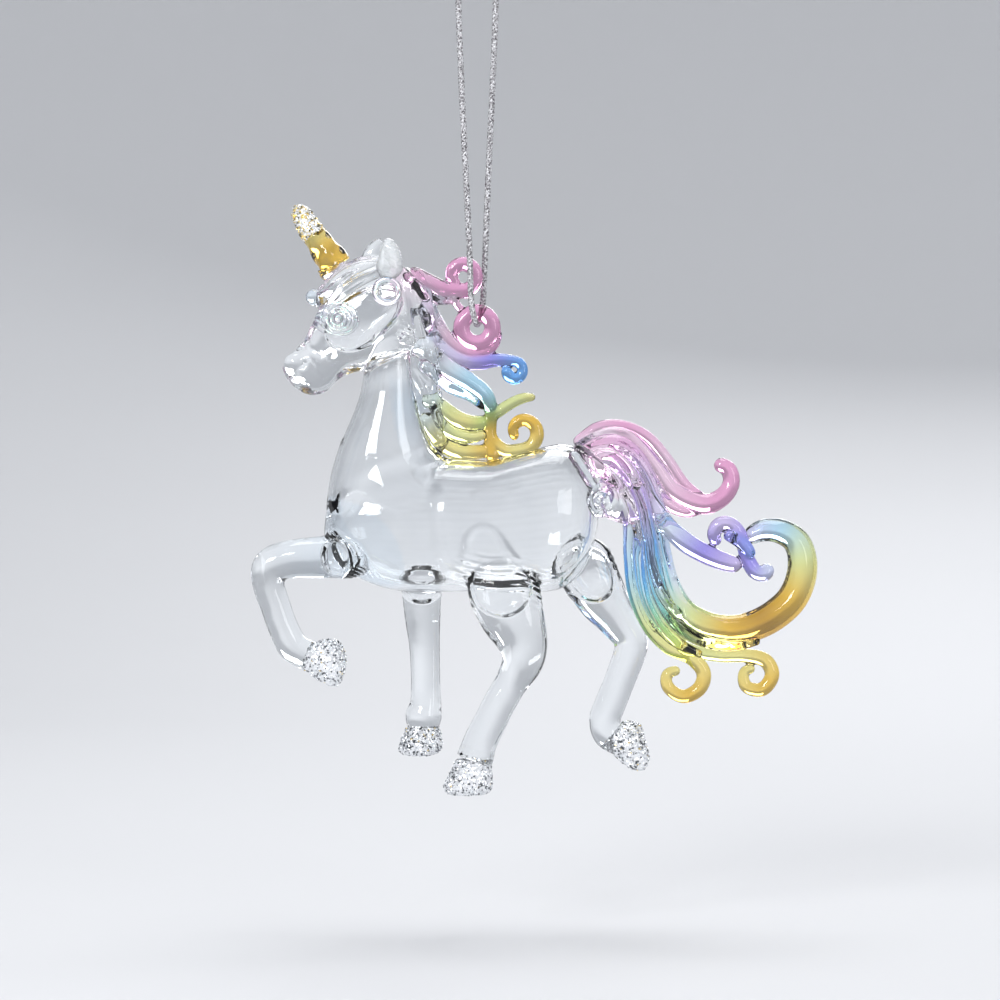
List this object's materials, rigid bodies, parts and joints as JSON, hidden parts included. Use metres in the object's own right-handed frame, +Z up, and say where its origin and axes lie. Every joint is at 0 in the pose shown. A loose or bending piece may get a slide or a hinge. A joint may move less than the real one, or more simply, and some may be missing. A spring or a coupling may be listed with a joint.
{
  "type": "hanging unicorn ornament",
  "caption": "Hanging glass ornament in the shape of a prancing unicorn with a curled mane and tail, carried by a ring on a loop of braided silver cord.",
  "frame": {"origin": "the inner crest of the cord loop, where a hook carries it", "axes": "+Z up along the loop, -X the way the unicorn faces, -Y its near (left) side"},
  "size_m": [0.113, 0.0212, 0.1789],
  "materials": {
    "clear_glass": "fire-polished clear glass",
    "frosted_glass": "frosted white glass",
    "pink_glass": "transparent pink glass",
    "violet_glass": "transparent violet-blue glass",
    "blue_glass": "transparent pale blue glass",
    "green_glass": "transparent green glass",
    "yellow_glass": "transparent yellow glass",
    "amber_glass": "transparent amber glass",
    "silver_glitter": "coarse silver glitter",
    "gold_glitter": "coarse silver and gold glitter",
    "silver_cord": "braided silver metallic cord"
  },
  "bodies": {
    "loop_top": {"cord_crest": "silver_cord", "cord_knot": "silver_cord"},
    "cord_strands": {"cord_strands": "silver_cord"},
    "unicorn": {"body_shell": "clear_glass", "ear_far": "clear_glass", "ear_near": "frosted_glass", "ear_ring": "clear_glass", "eye_far": "clear_glass", "eye_near": "clear_glass", "foreleg_raised": "clear_glass", "foreleg_standing": "clear_glass", "forelock": "clear_glass", "hanging_ring": "pink_glass", "head": "clear_glass", "hind_leg_far": "clear_glass", "hind_leg_near": "clear_glass", "hoof_hind_far": "silver_glitter", "hoof_hind_near": "silver_glitter", "hoof_raised": "silver_glitter", "hoof_standing": "silver_glitter", "horn": "amber_glass", "horn_collar": "clear_glass", "horn_tip": "gold_glitter", "jaw_bead": "clear_glass", "mane_amber_curl": "amber_glass", "mane_arch_lock": "blue_glass", "mane_blue_lock": "violet_glass", "mane_crest": "clear_glass", "mane_green_lock": "green_glass", "mane_leaf": "green_glass", "mane_ring_lock": "pink_glass", "mane_stem": "amber_glass", "mane_upper_curl": "pink_glass", "mane_yellow_lock": "yellow_glass", "neck_shell": "clear_glass", "tail_bead": "yellow_glass", "tail_coil": "clear_glass", "tail_large_curl": "amber_glass", "tail_large_strand": "blue_glass", "tail_left_curl": "yellow_glass", "tail_left_strand": "blue_glass", "tail_pink_lock": "pink_glass", "tail_purple_lock": "violet_glass", "tail_right_curl": "yellow_glass", "tail_right_strand": "blue_glass", "tail_root": "clear_glass", "tail_twin_curl": "violet_glass"}
  },
  "joints": [
    {"name": "cord_twist", "type": "hinge", "parent": "loop_top", "child": "cord_strands", "pos_m": [0, 0, -0.012], "axis": [0, 0, 1], "range_deg": [-90, 90]},
    {"name": "ornament_swing", "type": "hinge", "parent": "cord_strands", "child": "unicorn", "pos_m": [0, 0, -0.078], "axis": [0, 1, 0], "range_deg": [-30, 30]}
  ]
}
